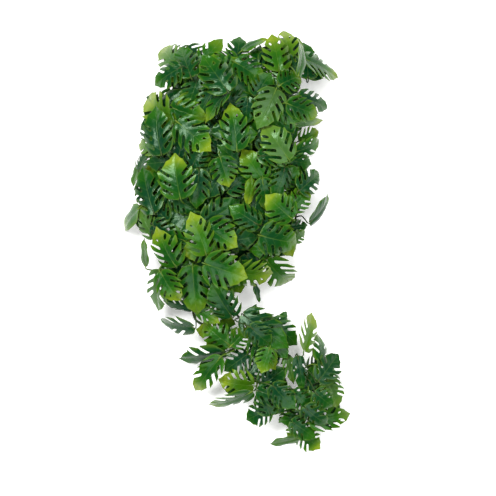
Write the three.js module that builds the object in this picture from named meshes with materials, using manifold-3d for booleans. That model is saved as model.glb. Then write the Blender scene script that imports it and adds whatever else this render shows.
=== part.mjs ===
// Trailing split-leaf philodendron, cut at the base and laid down on a surface.
// A short woody crown carries thirteen leafy stems; each stem, its petioles and its split leaves
// have grown together. Millimetres, +Z up. The cut end of the crown points to +Y, and the longest
// stems trail away to -Y. Plan places are measured from a point near the middle of the plant.
import * as THREE from 'three';
import { mergeVertices } from 'three/addons/utils/BufferGeometryUtils.js';
import Module from 'manifold-3d';

const wasm = await Module();
wasm.setup();

// Driving dimensions; angles are in radians
const longestLeaf = 104;
const fullestLeaf = 0.9;           // widest blade, as a share of its length
const edgeOnShare = 0.45;          // a leaf that looks narrower than this is turned on its midrib
const narrowLeaf = 0.55;           // width share of a blade that is seen nearly edge on
const [leastRoll, steepestRoll] = [0.3, 0.95];
const rollWithMound = 0.7;         // how far a blade follows the slope of the mound
const rollSpread = 0.3;
const widthShare = 0.94;           // a blade's width against the width that its fingers span
const archRange = [0.05, 0.11];    // rise of the midrib, as a share of the length
const foldRange = [0.12, 0.3];     // how steeply the halves rise from the midrib
const curlRange = [0.45, 0.95];    // how far the margins turn down
const widthPerSlit = 28;
const wideLeaf = 45;               // upper leaves seen wider than this have all their slits
const bladeThickness = 0.9;
const tipDroop = 9;                // how much lower a tip hangs than the mound below it
const droopSpread = 14;
const petioleHalf = 1.4;           // half the width of a petiole
const petioleApproach = 10;        // last straight stretch before the blade
const approachDip = 0.33;          // how far that stretch dips, as a share of its length
const petioleRise = 4;             // how far a bowed petiole rises at its middle
const stemRadius = 2.9;
const stemSides = 4;
const stemStep = 36;
const fewestSteps = 4;
const stemSway = 4;                // how far stems wander from their routes
const leafStart = 18;              // bare stretch of each stem at the crown
const freeGap = 0.45;              // gap kept between neighbours that would touch
const crownRadius = 17;
const crownLength = 76;
const crownMiddle = new THREE.Vector3(0, 342, 15);
const drawSeed = 4177;

// The mound: stations down the plant, with the middle, half width and height of the mass of leaves
const mound = [
  { y: 440, middle: 14, half: 90, height: 34 },
  { y: 410, middle: 10, half: 140, height: 66 },
  { y: 364, middle: 8, half: 180, height: 108 },
  { y: 284, middle: -8, half: 192, height: 134 },
  { y: 164, middle: -22, half: 196, height: 142 },
  { y: 64, middle: -30, half: 200, height: 140 },
  { y: -16, middle: -40, half: 172, height: 128 },
  { y: -96, middle: -66, half: 122, height: 104 },
  { y: -152, middle: -20, half: 130, height: 74 },
  { y: -206, middle: 34, half: 150, height: 68 },
  { y: -276, middle: 50, half: 156, height: 68 },
  { y: -336, middle: 86, half: 146, height: 60 },
  { y: -396, middle: 116, half: 84, height: 40 },
  { y: -430, middle: 124, half: 50, height: 24 },
];
const moundFoot = 9;
const slopeReach = 24;             // how far to each side the slope of the mound is read
// Share of the mound's height at which leaves of each layer sit, from the lowest to the uppermost
const layerShare = { 1: 0.46, 2: 0.66, 3: 0.84, 4: 1 };

// One row per leafy stem: its route in plan from the crown (x, y), how high it runs in the mound,
// its colour, and its leaves. A leaf is [layer, base x, base y, tip x, tip y, width seen from above].
const leafyStems = [
  {
    name: 'stem_top_right', colour: 0x4d8a2a, lift: 0.4, start: [10, 348, 20],
    route: [[40, 354], [80, 350], [112, 354], [134, 352]],
    leaves: [
      [3, 78, 344, 64, 416, 60], [2, 100, 360, 88, 428, 52], [4, 116, 334, 114, 404, 18],
      [2, 136, 330, 128, 404, 54], [3, 132, 362, 194, 330, 44], [3, 82, 312, 122, 330, 50],
    ],
  },
  {
    name: 'stem_top', colour: 0x2f6b35, lift: 0.46, start: [1, 354, 23],
    route: [[8, 368], [20, 380], [34, 386]],
    leaves: [
      [2, -8, 358, 0, 414, 52], [2, 6, 384, 56, 406, 20], [3, -8, 356, 46, 316, 62],
      [1, 34, 330, 40, 396, 58],
    ],
  },
  {
    name: 'stem_top_left', colour: 0x2c6a38, lift: 0.48, start: [-10, 336, 22],
    route: [[-36, 322], [-62, 304], [-84, 290], [-102, 272]],
    leaves: [
      [4, -26, 300, -74, 368, 70], [3, -52, 304, -88, 240, 50], [3, -24, 298, -66, 232, 30],
      [2, -88, 304, -114, 240, 52], [1, -104, 280, -108, 352, 60],
    ],
  },
  {
    name: 'stem_left_upper', colour: 0x557f2a, lift: 0.36, start: [-10, 348, 18],
    route: [[-44, 352], [-92, 336], [-128, 290], [-146, 228], [-154, 172]],
    leaves: [
      [2, -120, 342, -158, 394, 62], [3, -98, 330, -118, 388, 60], [3, -120, 344, -172, 312, 50],
      [2, -82, 352, -34, 406, 50], [2, -134, 244, -189, 294, 66], [4, -156, 178, -164, 270, 64],
      [2, -168, 184, -206, 198, 36], [1, -134, 160, -192, 150, 52],
      [1, -138, 306, -130, 236, 60],
    ],
  },
  {
    name: 'stem_left_middle', colour: 0x2b6334, lift: 0.34, start: [-10, 324, 16],
    route: [[-44, 294], [-84, 234], [-118, 164], [-142, 100], [-158, 40]],
    leaves: [
      [1, -202, 154, -216, 112, 18], [3, -172, 62, -194, 150, 58], [2, -150, 74, -164, 152, 52],
      [4, -120, 234, -56, 178, 70], [2, -204, 66, -236, 22, 24], [3, -172, 12, -200, 74, 42],
      [1, -126, 18, -134, 92, 62], [1, -104, 200, -98, 118, 70],
    ],
  },
  {
    name: 'stem_left_lower', colour: 0x3a7433, lift: 0.4, start: [-11, 310, 10],
    route: [[-30, 276], [-56, 214], [-80, 144], [-98, 64], [-116, -8], [-138, -62]],
    leaves: [
      [4, -118, 90, -128, 176, 72], [1, -84, 110, -104, 32, 60], [3, -188, -46, -192, 8, 18],
      [4, -130, -44, -164, 32, 54], [2, -108, 20, -120, 78, 42], [3, -160, -62, -160, -138, 38],
      [3, -156, -62, -118, -118, 56], [2, -100, -132, -154, -116, 26], [2, -96, -170, -164, -158, 34],
      [1, -92, -58, -124, 10, 62],
    ],
  },
  {
    name: 'stem_centre_left', colour: 0x3f7d31, lift: 0.48, start: [-1, 309, 27],
    route: [[-14, 276], [-32, 214], [-46, 144], [-60, 54], [-70, -26], [-66, -112]],
    leaves: [
      [4, -38, 164, -22, 108, 58], [4, -66, 30, -4, -10, 70], [3, -68, 40, 0, 84, 60],
      [4, -68, -20, -98, 60, 64], [3, -94, -52, -86, -148, 70], [4, -66, -44, 14, -70, 76],
      [1, -24, 268, -38, 184, 68], [2, -48, 168, -64, 88, 60], [1, -52, 10, -20, -60, 60],
    ],
  },
  {
    name: 'stem_centre', colour: 0x5b8f35, lift: 0.36, start: [5, 309, 17],
    route: [[4, 276], [-2, 224], [-6, 144], [-8, 64], [-2, -6], [14, -62]],
    leaves: [
      [4, -6, 186, -20, 274, 60], [3, 44, 124, 4, 184, 62], [3, 22, 122, 12, 72, 24],
      [2, -12, 112, -30, 34, 58], [3, -2, -62, 66, -62, 68], [1, 30, -86, 38, -122, 14],
      [1, 12, 36, 18, -54, 70], [1, -24, 182, -36, 100, 64], [1, -22, -52, 2, -104, 62],
    ],
  },
  {
    name: 'stem_centre_right', colour: 0x3c7d3c, lift: 0.44, start: [11, 311, 11],
    route: [[28, 276], [44, 214], [54, 154], [60, 84], [58, 14], [52, -34]],
    leaves: [
      [2, 10, 270, 2, 330, 52], [4, 100, 48, 50, 94, 64], [4, 44, 12, 116, -2, 72],
      [2, 82, 24, 104, -28, 50], [3, 54, -38, 102, -82, 68], [1, 24, 262, 26, 170, 62],
      [2, 34, 100, 22, 16, 58], [1, 64, 164, 60, 84, 64],
    ],
  },
  {
    name: 'stem_right_upper', colour: 0x35743a, lift: 0.48, start: [10, 336, 22],
    route: [[40, 318], [72, 296], [102, 268], [122, 240]],
    leaves: [
      [1, 64, 300, 24, 344, 58], [1, 90, 284, 104, 352, 50], [4, 70, 298, 34, 222, 66],
      [2, 104, 268, 156, 276, 40], [3, 120, 288, 174, 268, 44], [3, 96, 272, 156, 252, 50],
      [2, 110, 234, 166, 246, 18],
    ],
  },
  {
    name: 'stem_right_lower', colour: 0x447f38, lift: 0.34, start: [10, 324, 16],
    route: [[42, 292], [76, 236], [102, 180], [116, 116], [114, 54], [102, 6]],
    leaves: [
      [4, 94, 166, 44, 232, 66], [1, 120, 204, 156, 224, 38], [2, 112, 180, 160, 206, 32],
      [2, 98, 164, 142, 156, 40], [3, 120, 104, 158, 140, 52], [3, 104, 68, 138, 106, 46],
      [2, 114, 100, 88, 160, 52], [2, 104, 28, 136, 34, 28], [2, 108, 4, 128, 22, 26],
      [3, 142, 42, 178, 98, 24], [1, 82, 272, 104, 196, 60],
    ],
  },
  {
    name: 'stem_trail_left', colour: 0x2f6a33, lift: 0.32, start: [-7, 309, 23],
    route: [[-22, 276], [-44, 214], [-64, 144], [-80, 54], [-94, -26], [-96, -106], [-86, -156],
      [-50, -176], [-16, -206], [20, -260], [46, -288], [84, -308], [120, -320]],
    leaves: [
      [3, -84, -136, -40, -162, 32], [2, -24, -204, -76, -160, 58], [1, -36, -186, -88, -176, 46],
      [3, -16, -206, 14, -172, 46], [2, -36, -222, -124, -232, 36], [3, -42, -234, -92, -302, 48],
      [2, 14, -226, -32, -260, 52], [2, 24, -288, -44, -276, 58], [3, 18, -302, -66, -328, 34],
      [2, 44, -288, 92, -252, 56], [3, 38, -298, 118, -322, 50], [2, 116, -306, 62, -340, 48],
      [2, 58, -334, 12, -360, 64], [1, 108, -336, 78, -364, 26], [1, -34, -196, -20, -146, 46],
    ],
  },
  {
    name: 'stem_trail_right', colour: 0x39772f, lift: 0.42, start: [0, 309, 7],
    route: [[-8, 276], [-18, 214], [-28, 144], [-36, 64], [-40, -26], [-30, -96], [0, -152],
      [34, -190], [70, -216], [100, -228], [122, -262], [136, -300], [142, -336], [132, -372]],
    leaves: [
      [3, -18, -146, -56, -80, 64], [4, 10, -148, 98, -212, 72], [2, 64, -160, 114, -208, 52],
      [1, 72, -176, 94, -140, 26], [3, 28, -192, 72, -256, 54], [3, 130, -212, 144, -142, 40],
      [2, 164, -240, 156, -184, 26], [3, 158, -274, 196, -226, 56], [2, 132, -306, 152, -244, 38],
      [3, 116, -232, 124, -298, 34], [3, 176, -282, 196, -334, 48],
      [4, 136, -300, 134, -350, 30], [3, 144, -361, 225, -346, 50], [3, 122, -384, 161, -417, 66],
      [2, 112, -372, 98, -398, 34], [3, 114, -394, 58, -406, 24], [2, 130, -346, 78, -362, 34],
      [1, 152, -284, 162, -342, 46],
    ],
  },
];

// Seeded draws, the same in every run
function makeDraw(seed) {
  let state = seed;
  return (low, high) => {
    state = (state * 16807) % 2147483647;
    return low + ((high - low) * state) / 2147483647;
  };
}
const draw = makeDraw(drawSeed);

const clamp = (value, low, high) => Math.min(high, Math.max(low, value));

// Middle, half width and height of the mound at a place down the plant
function moundAt(y) {
  const last = mound.length - 1;
  let i = 0;
  while (i < last - 1 && y < mound[i + 1].y) i += 1;
  const [a, b] = [mound[i], mound[i + 1]];
  const t = clamp((a.y - y) / (a.y - b.y), 0, 1);
  return {
    middle: a.middle + (b.middle - a.middle) * t,
    half: a.half + (b.half - a.half) * t,
    height: a.height + (b.height - a.height) * t,
  };
}

// Height of the mound over a plan point
function moundHeight(x, y) {
  const { middle, half, height } = moundAt(y);
  const across = Math.min(1, Math.abs(x - middle) / half);
  return moundFoot + (height - moundFoot) * Math.sqrt(1 - across ** 3);
}

// Half outline of a blade without its slits, for a length and a full width of 1
const blade = [[-0.07, 0.17], [0.03, 0.38], [0.16, 0.47], [0.34, 0.5], [0.52, 0.49], [0.66, 0.42],
  [0.84, 0.2], [1, 0]];
const notch = 0.02;
const slitHalfGap = 0.034;
const slitLean = 0.16;             // how much nearer the base a slit's inner end is
const slitDepth = 0.46;            // where the inner end lies across the half blade
const slitPlaces = { 1: [0.6], 2: [0.38, 0.63], 3: [0.23, 0.43, 0.63] };
const fingerCorner = 0.02;         // how far a finger's forward corner stands out
const ribAhead = 0.06;             // how far a point on the midrib lies ahead of its slits

function halfWidth(u) {
  let i = 0;
  while (i < blade.length - 2 && u > blade[i + 1][0]) i += 1;
  const [a, b] = [blade[i], blade[i + 1]];
  return a[1] + ((b[1] - a[1]) * (u - a[0])) / (b[0] - a[0]);
}

// Works out how a leaf of the list lies: its length, pitch, roll and curvature
function poseLeaf([layer, baseX, baseY, tipX, tipY, seenWidth]) {
  const run = Math.hypot(tipX - baseX, tipY - baseY);
  const heading = Math.atan2(tipY - baseY, tipX - baseX);
  const share = layerShare[layer];
  const most = Math.sqrt(Math.max(0, longestLeaf ** 2 - run ** 2));
  const slope = share * (moundHeight(baseX, baseY) - moundHeight(tipX, tipY));
  const drop = clamp(slope + tipDroop + draw(-droopSpread, droopSpread), -most, most);
  const length = Math.hypot(run, drop);
  const [midX, midY] = [(baseX + tipX) / 2, (baseY + tipY) / 2];
  const aside = [-slopeReach * Math.sin(heading), slopeReach * Math.cos(heading)];
  const left = moundHeight(midX + aside[0], midY + aside[1]);
  const right = moundHeight(midX - aside[0], midY - aside[1]);
  const lean = (share * (left - right)) / (2 * slopeReach);
  let roll = Math.atan(rollWithMound * lean) + draw(-rollSpread, rollSpread);
  if (seenWidth < edgeOnShare * length) {
    const steep = Math.acos(clamp(seenWidth / (narrowLeaf * length), 0, 1));
    roll = Math.sign(lean || 1) * clamp(steep, leastRoll, steepestRoll);
  }
  return {
    layer, length, heading, roll,
    pitch: Math.atan2(drop, run),
    width: Math.min((widthShare * seenWidth) / Math.cos(roll), fullestLeaf * length),
    base: new THREE.Vector3(baseX, baseY, share * moundHeight(midX, midY) + drop / 2),
    arch: draw(...archRange), fold: draw(...foldRange), curl: draw(...curlRange),
    slits: layer > 2 && seenWidth > wideLeaf ? 3 : Math.min(2, Math.ceil(seenWidth / widthPerSlit)),
  };
}

// Axes of a leaf: along its midrib, to its left and out of its face
function leafAxes({ heading: h, pitch: p, roll: r }) {
  const along = new THREE.Vector3(Math.cos(h) * Math.cos(p), Math.sin(h) * Math.cos(p), -Math.sin(p));
  const level = new THREE.Vector3(-Math.sin(h), Math.cos(h), 0);
  const up = new THREE.Vector3().crossVectors(along, level);
  const left = level.clone().multiplyScalar(Math.cos(r)).addScaledVector(up, Math.sin(r));
  const out = up.multiplyScalar(Math.cos(r)).addScaledVector(level, -Math.sin(r));
  return { along, left, out };
}

// A point of a blade: u runs along the midrib and v across, as shares of the length and width
function bladePoint(leaf, axes, u, v, lift = 0) {
  const arched = leaf.length * leaf.arch * 4 * u * (1 - u);
  const folded = leaf.width * (leaf.fold * Math.abs(v) - leaf.curl * v * v);
  return leaf.base.clone()
    .addScaledVector(axes.along, u * leaf.length)
    .addScaledVector(axes.left, v * leaf.width)
    .addScaledVector(axes.out, arched + folded + lift);
}

// Heights already taken in the heap, kept for small squares of the plan
const cell = 4;
const settleGap = 3;
const floorGap = 0.5;
const heap = new Map();
const cellKey = (x, y) => `${Math.floor(x / cell)},${Math.floor(y / cell)}`;

function stampHeap(points, rise = 0) {
  for (const point of points) {
    const key = cellKey(point.x, point.y);
    if (!heap.has(key)) heap.set(key, []);
    heap.get(key).push(point.z + rise);
  }
}

const sampleRows = 26;
const sampleColumns = 11;
function bladeSamples(leaf) {
  const axes = leafAxes(leaf);
  const samples = [];
  for (let i = 0; i <= sampleRows; i += 1) {
    const u = blade[0][0] + ((1 - blade[0][0]) * i) / sampleRows;
    for (let j = -sampleColumns; j <= sampleColumns; j += 1) {
      samples.push(bladePoint(leaf, axes, u, (halfWidth(u) * j) / sampleColumns));
    }
  }
  return samples;
}

// Moves a leaf up or down to the nearest height where it lies clear of what is already there
function settle(leaf) {
  const clear = [];
  let lowest = Infinity;
  for (const point of bladeSamples(leaf)) {
    lowest = Math.min(lowest, point.z);
    for (const z of heap.get(cellKey(point.x, point.y)) ?? []) clear.push(z - point.z);
  }
  const floorLift = floorGap + bladeThickness - lowest;
  clear.sort((a, b) => a - b);
  let up = Math.max(0, floorLift);
  for (const z of clear) if (Math.abs(z - up) < settleGap) up = z + settleGap;
  let down = 0;
  for (const z of clear.reverse()) if (Math.abs(z - down) < settleGap) down = z - settleGap;
  const goesDown = leaf.layer < 4 && down >= floorLift && -2 * down < up;
  leaf.base.z += goesDown ? down : up;
  leaf.samples = bladeSamples(leaf);
  stampHeap(leaf.samples);
}

// Points along a chain of straight stretches
function alongChain(chain, step) {
  const points = [];
  for (let i = 0; i < chain.length - 1; i += 1) {
    const pieces = Math.max(1, Math.round(chain[i].distanceTo(chain[i + 1]) / step));
    for (let k = 0; k < pieces; k += 1) points.push(chain[i].clone().lerp(chain[i + 1], k / pieces));
  }
  return points;
}

// The crown and the stems lie in the heap first
const stemClearance = 0.4;
function stemCurve(stem, number) {
  const lowest = stemRadius + stemClearance;
  const points = [new THREE.Vector3(...stem.start)];
  stem.route.forEach(([x, y], k) => {
    const z = stem.lift * moundHeight(x, y) + stemSway * Math.sin(1.7 * k + 2 * number);
    const aside = stemSway * Math.sin(2.1 * k + number);
    points.push(new THREE.Vector3(x + aside, y, Math.max(lowest, z)));
  });
  return new THREE.CatmullRomCurve3(points, false, 'catmullrom', 0.5);
}

const trailStep = 3;
for (let y = -crownLength / 2; y <= crownLength / 2; y += trailStep) {
  for (let x = -crownRadius; x <= crownRadius; x += trailStep) {
    for (let z = 0; z <= crownRadius; z += trailStep) {
      stampHeap([crownMiddle.clone().add(new THREE.Vector3(x, y, z))]);
    }
  }
}
leafyStems.forEach((stem, number) => {
  stem.curve = stemCurve(stem, number);
  stem.steps = Math.max(fewestSteps, Math.round(stem.curve.getLength() / stemStep));
  stem.trail = alongChain(stem.curve.getSpacedPoints(stem.steps), trailStep);
  for (const aside of [-stemRadius, 0, stemRadius]) {
    for (const rise of [-stemRadius, 0, stemRadius]) {
      stampHeap(stem.trail.map((p) => new THREE.Vector3(p.x + aside, p.y, p.z)), rise);
      stampHeap(stem.trail.map((p) => new THREE.Vector3(p.x, p.y + aside, p.z)), rise);
    }
  }
});

// Leaves settle layer by layer, in the order of the lists
const leaves = [];
for (const stem of leafyStems) {
  stem.leafList = stem.leaves.map((entry) => ({ ...poseLeaf(entry), stem }));
  leaves.push(...stem.leafList);
}
for (const layer of [1, 2, 3, 4]) leaves.filter((leaf) => leaf.layer === layer).forEach(settle);

// Where stems, petioles and blades already are, in small boxes of space
const boxSize = 5;
const taken = new Map();
const boxOf = (p) => [p.x, p.y, p.z].map((c) => Math.floor(c / boxSize));
function take(points, stem, kind) {
  for (const p of points) {
    const key = boxOf(p).join();
    if (!taken.has(key)) taken.set(key, []);
    taken.get(key).push({ p, stem, kind });
  }
}

// Counts what a route would run into: other stems and petioles weigh far more than blades
const rodRoom = 6.4;
const bladeRoom = 3.6;
const rodWeight = 40;
function crossings(points, stem) {
  let weight = 0;
  for (const p of points) {
    const [i, j, k] = boxOf(p);
    for (let n = 0; n < 27; n += 1) {
      const key = [i - 1 + (n % 3), j - 1 + (Math.floor(n / 3) % 3), k - 1 + Math.floor(n / 9)].join();
      for (const other of taken.get(key) ?? []) {
        const gap = other.p.distanceTo(p);
        if (other.kind === 'rod' && other.stem !== stem && gap < rodRoom) weight += rodWeight;
        if (other.kind === 'blade' && gap < bladeRoom) weight += 1;
      }
    }
  }
  return weight;
}

for (const stem of leafyStems) {
  take(stem.trail, stem, 'rod');
  for (const leaf of stem.leafList) take(leaf.samples, stem, 'blade');
}

// A petiole leaves its stem a little before the leaf and reaches the notch of the blade; of several
// bowed ways it takes the one that runs into least
const stepsBack = [5, 2, 9, 13, 0];
const [backWeight, bowWeight] = [0.2, 0.1];
const routeStep = 2.5;
const ownEnds = 3;                 // route points at each end that may touch the leaf and the stem
const bows = [[0, 0], [8, 0], [-8, 0], [0, 8], [0, -8], [15, 0], [-15, 0], [0, 15], [0, -15]];
function routePetiole(leaf) {
  const axes = leafAxes(leaf);
  const trail = leaf.stem.trail;
  const flat = (q) => Math.hypot(q.x - leaf.base.x, q.y - leaf.base.y);
  let nearest = 0;
  trail.forEach((p, i) => {
    if (flat(p) < flat(trail[nearest])) nearest = i;
  });
  const notchPoint = bladePoint(leaf, axes, notch, 0);
  const before = notchPoint.clone().addScaledVector(axes.along, -petioleApproach)
    .addScaledVector(axes.out, -petioleApproach * approachDip);
  before.z = Math.max(before.z, petioleHalf + floorGap);
  let best = null;
  for (const back of stepsBack) {
    const from = trail[clamp(nearest - back, leafStart / trailStep, trail.length - 1)];
    for (const [bowX, bowY] of bows) {
      const middle = from.clone().lerp(before, 0.5).add(new THREE.Vector3(bowX, bowY, petioleRise));
      middle.z = Math.max(middle.z, petioleHalf + floorGap);
      const bend = bowX === 0 && bowY === 0 ? [] : [middle];
      const chain = [notchPoint, ...(leaf.layer > 1 ? [before] : []), ...bend, from];
      const points = alongChain(chain, routeStep);
      const detour = bowWeight * Math.hypot(bowX, bowY) + backWeight * back;
      const weight = crossings(points.slice(ownEnds, -ownEnds), leaf.stem) + detour;
      if (!best || weight < best.weight) best = { chain, points, weight };
    }
  }
  leaf.petiole = best.chain;
  take(best.points, leaf.stem, 'rod');
}
leaves.forEach(routePetiole);

// Rings of four points along a chain, each square to the way; the first vector points to the left
function tubeRings(chain, left, half) {
  const rings = [];
  let side = left.clone();
  chain.forEach((center, k) => {
    const toNext = k < chain.length - 1 ? chain[k + 1].clone().sub(center).normalize() : null;
    const fromLast = k > 0 ? center.clone().sub(chain[k - 1]).normalize() : null;
    const way = new THREE.Vector3();
    if (toNext) way.add(toNext);
    if (fromLast) way.add(fromLast);
    way.normalize();
    side = side.clone().addScaledVector(way, -side.dot(way)).normalize();
    const rise = new THREE.Vector3().crossVectors(side, way);
    rings.push([[1, 1], [-1, 1], [-1, -1], [1, -1]].map(([s, r]) => center.clone()
      .addScaledVector(side, s * half).addScaledVector(rise, r * half)));
  });
  return rings;
}

// A closed geometry becomes a solid that can be joined and cut
function toSolid(geometry) {
  const bare = new THREE.BufferGeometry();
  bare.setAttribute('position', geometry.getAttribute('position').clone());
  if (geometry.index) bare.setIndex(geometry.index.clone());
  const merged = mergeVertices(bare, 1e-4);
  const vertProperties = merged.getAttribute('position').array;
  const triVerts = new Uint32Array(merged.index.array);
  const solid = new wasm.Manifold(new wasm.Mesh({ numProp: 3, vertProperties, triVerts }));
  if (solid.volume() > 0) return solid;
  for (let i = 0; i < triVerts.length; i += 3) {
    [triVerts[i + 1], triVerts[i + 2]] = [triVerts[i + 2], triVerts[i + 1]];
  }
  return new wasm.Manifold(new wasm.Mesh({ numProp: 3, vertProperties, triVerts }));
}

function indexed(positions, index) {
  const geometry = new THREE.BufferGeometry();
  geometry.setAttribute('position', new THREE.Float32BufferAttribute(positions, 3));
  geometry.setIndex(index);
  return geometry;
}

function toGeometry(solid) {
  const mesh = solid.getMesh();
  return indexed(Array.from(mesh.vertProperties), Array.from(mesh.triVerts));
}

// A stem: a rod with few sides along its curve
function stemSolid({ curve, steps }, radius) {
  const section = new THREE.Shape();
  for (let i = 0; i < stemSides; i += 1) {
    const turn = (2 * Math.PI * i) / stemSides;
    const [x, y] = [radius * Math.cos(turn), radius * Math.sin(turn)];
    if (i === 0) section.moveTo(x, y);
    else section.lineTo(x, y);
  }
  return toSolid(new THREE.ExtrudeGeometry(section, { steps, extrudePath: curve }));
}

// One half of a split blade: outline points from the notch to the tip, points on the midrib, and
// the triangles between them
function halfBlade(leaf) {
  const outline = [[notch, petioleHalf / leaf.width], blade[0], blade[1]];
  const ribs = [];
  for (const u of slitPlaces[leaf.slits]) {
    const inner = [u - slitLean, slitDepth * halfWidth(u - slitLean)];
    outline.push(
      [u - slitHalfGap, halfWidth(u - slitHalfGap) + fingerCorner], inner,
      [u + slitHalfGap, halfWidth(u + slitHalfGap) - fingerCorner],
    );
    ribs.push([inner[0] + ribAhead, 0]);
  }
  outline.push([1, 0]);
  const rib = (k) => outline.length + k;
  const inner = (k) => 4 + 3 * k;
  const last = leaf.slits - 1;
  const faces = [[0, 1, inner(0)], [1, 2, inner(0)], [2, 3, inner(0)], [0, inner(0), rib(0)]];
  for (let k = 0; k < last; k += 1) {
    faces.push([inner(k), inner(k) + 1, inner(k + 1)], [inner(k) + 1, inner(k) + 2, inner(k + 1)]);
    faces.push([rib(k), inner(k), inner(k + 1)], [rib(k), inner(k + 1), rib(k + 1)]);
  }
  faces.push([rib(last), inner(last), inner(last) + 1], [rib(last), inner(last) + 1, outline.length - 1]);
  return { outline, ribs, faces };
}

// A leaf is one closed skin: the blade's two faces, split alike, its rim, and the petiole that
// runs from the notch into the stem
function leafSolid(leaf) {
  const axes = leafAxes(leaf);
  const { outline, ribs, faces } = halfBlade(leaf);
  const tip = outline.length - 1;
  const plan = [...outline.map(([u, v]) => [u, -v]), ...ribs, ...outline.slice(0, tip)];
  const count = plan.length;
  const mirrored = (i) => (i < tip ? tip + 1 + ribs.length + i : i);
  const positions = [];
  for (const side of [bladeThickness / 2, -bladeThickness / 2]) {
    for (const [u, v] of plan) positions.push(...bladePoint(leaf, axes, u, v, side).toArray());
  }
  const index = [];
  const addFace = (a, b, c) => index.push(a, b, c, count + a, count + c, count + b);
  for (const [a, b, c] of faces) {
    addFace(a, b, c);
    addFace(mirrored(a), mirrored(c), mirrored(b));
  }
  addFace(0, tip + 1, mirrored(0));
  const rim = [];
  for (let i = 0; i <= tip; i += 1) rim.push(i);
  for (let i = tip - 1; i >= 0; i -= 1) rim.push(mirrored(i));
  for (let i = 0; i < rim.length - 1; i += 1) {
    const [a, b] = [rim[i], rim[i + 1]];
    index.push(a, count + a, b, b, count + a, count + b);
  }
  let ring = [mirrored(0), 0, count, count + mirrored(0)];
  for (const points of tubeRings(leaf.petiole, axes.left, petioleHalf).slice(1)) {
    const start = positions.length / 3;
    for (const point of points) positions.push(...point.toArray());
    const next = [start, start + 1, start + 2, start + 3];
    for (let i = 0; i < 4; i += 1) {
      const j = (i + 1) % 4;
      index.push(ring[j], ring[i], next[i], ring[j], next[i], next[j]);
    }
    ring = next;
  }
  index.push(ring[0], ring[3], ring[2], ring[0], ring[2], ring[1]);
  return toSolid(indexed(positions, index));
}

// The room that a petiole needs where it passes through a blade of another stem
function petioleRoom(leaf) {
  const positions = [];
  const index = [];
  const rings = tubeRings(leaf.petiole, leafAxes(leaf).left, petioleHalf + freeGap);
  rings.forEach((points, k) => {
    for (const point of points) positions.push(...point.toArray());
    if (k === 0) return;
    for (let i = 0; i < 4; i += 1) {
      const [a, b] = [4 * k - 4 + i, 4 * k - 4 + ((i + 1) % 4)];
      index.push(b, a, a + 4, b, a + 4, b + 4);
    }
  });
  const end = 4 * (rings.length - 1);
  index.push(0, 1, 2, 0, 2, 3, end, end + 3, end + 2, end, end + 2, end + 1);
  return toSolid(indexed(positions, index));
}

for (const stem of leafyStems) {
  stem.solid = stemSolid(stem, stemRadius);
  stem.room = stemSolid(stem, stemRadius + freeGap);
  for (const leaf of stem.leafList) {
    leaf.solid = leafSolid(leaf);
    leaf.room = petioleRoom(leaf);
  }
}

const largest = (solid) => solid.decompose().reduce((a, b) => (b.volume() > a.volume() ? b : a));

// The crown: a lathed stub with low rings where old leaves sat, a flat where it rests, and a plain
// hole for each stem
const crownProfile = [[0, -38], [13, -38], [16.5, -32], [15.4, -20], [17, -8], [15.6, 6], [17, 20],
  [15.2, 38], [0, 38]];
const crownSides = 10;
function crownSolid() {
  const points = crownProfile.map(([radius, along]) => new THREE.Vector2(radius, along));
  const lathe = new THREE.LatheGeometry(points, crownSides);
  lathe.translate(...crownMiddle.toArray());
  const below = new THREE.BoxGeometry(4 * crownRadius, 2 * crownLength, crownRadius);
  below.translate(crownMiddle.x, crownMiddle.y, -crownRadius / 2);
  const flattened = toSolid(lathe).subtract(toSolid(below));
  return leafyStems.reduce((solid, stem) => solid.subtract(stem.room), flattened);
}

const group = new THREE.Group();
function addNode(name, solid, colour, roughness) {
  const material = new THREE.MeshStandardMaterial({ color: colour, roughness, metalness: 0 });
  const mesh = new THREE.Mesh(toGeometry(largest(solid)), material);
  mesh.name = name;
  group.add(mesh);
}

addNode('crown', crownSolid(), 0x5e5a34, 0.75);
for (const stem of leafyStems) {
  let solid = stem.solid;
  for (const leaf of stem.leafList) {
    for (const other of leafyStems) {
      if (other === stem) continue;
      for (const room of [other.room, ...other.leafList.map((l) => l.room)]) {
        if (leaf.solid.intersect(room).volume() > 0) leaf.solid = leaf.solid.subtract(room);
      }
    }
    solid = solid.add(leaf.solid);
  }
  addNode(stem.name, solid, stem.colour, 0.35);
}

// The origin is under the middle of the whole, on the surface it lies on
const box = new THREE.Box3().setFromObject(group);
const center = box.getCenter(new THREE.Vector3());
group.position.set(-center.x, -center.y, -box.min.z);

export default group;
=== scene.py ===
import math

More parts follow.
